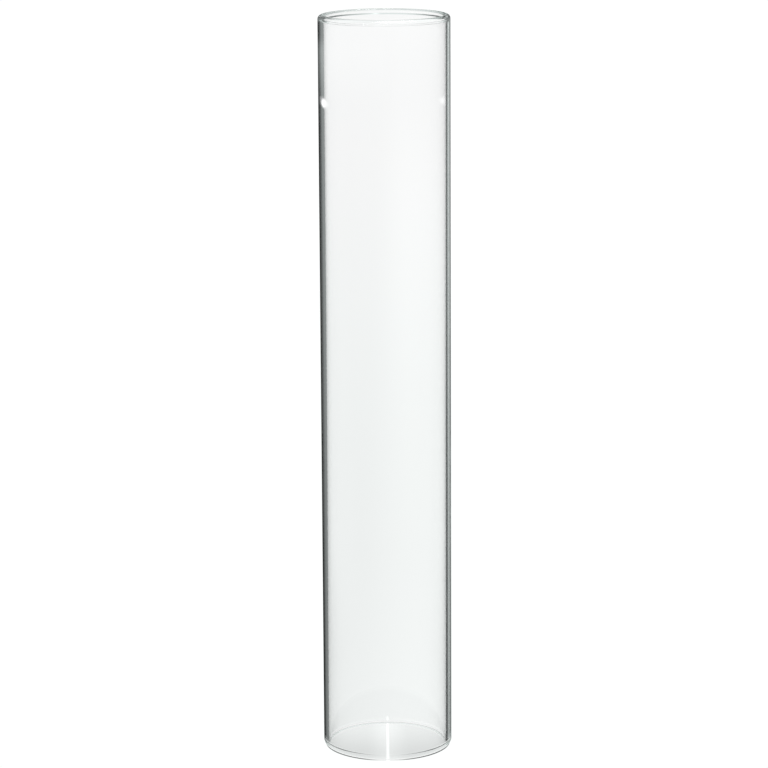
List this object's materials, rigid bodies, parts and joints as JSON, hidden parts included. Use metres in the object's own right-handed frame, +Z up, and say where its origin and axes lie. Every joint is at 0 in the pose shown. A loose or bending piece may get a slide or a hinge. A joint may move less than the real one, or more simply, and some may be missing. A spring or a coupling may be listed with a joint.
{
  "type": "open-ended glass tube",
  "caption": "Straight clear glass tube, open at both ends, with a plain wall and fire-polished rounded rims, standing upright.",
  "frame": {"origin": "centre of the lower rim's circle, on the plane that the tube stands on", "axes": "+Z up along the tube's axis; X and Y are any two directions across it, because the tube is round"},
  "size_m": [0.07, 0.07, 0.4],
  "materials": {
    "clear_glass": "clear, polished, with fire-polished rims"
  },
  "bodies": {
    "root": {"glass_tube": "clear_glass"}
  },
  "joints": []
}
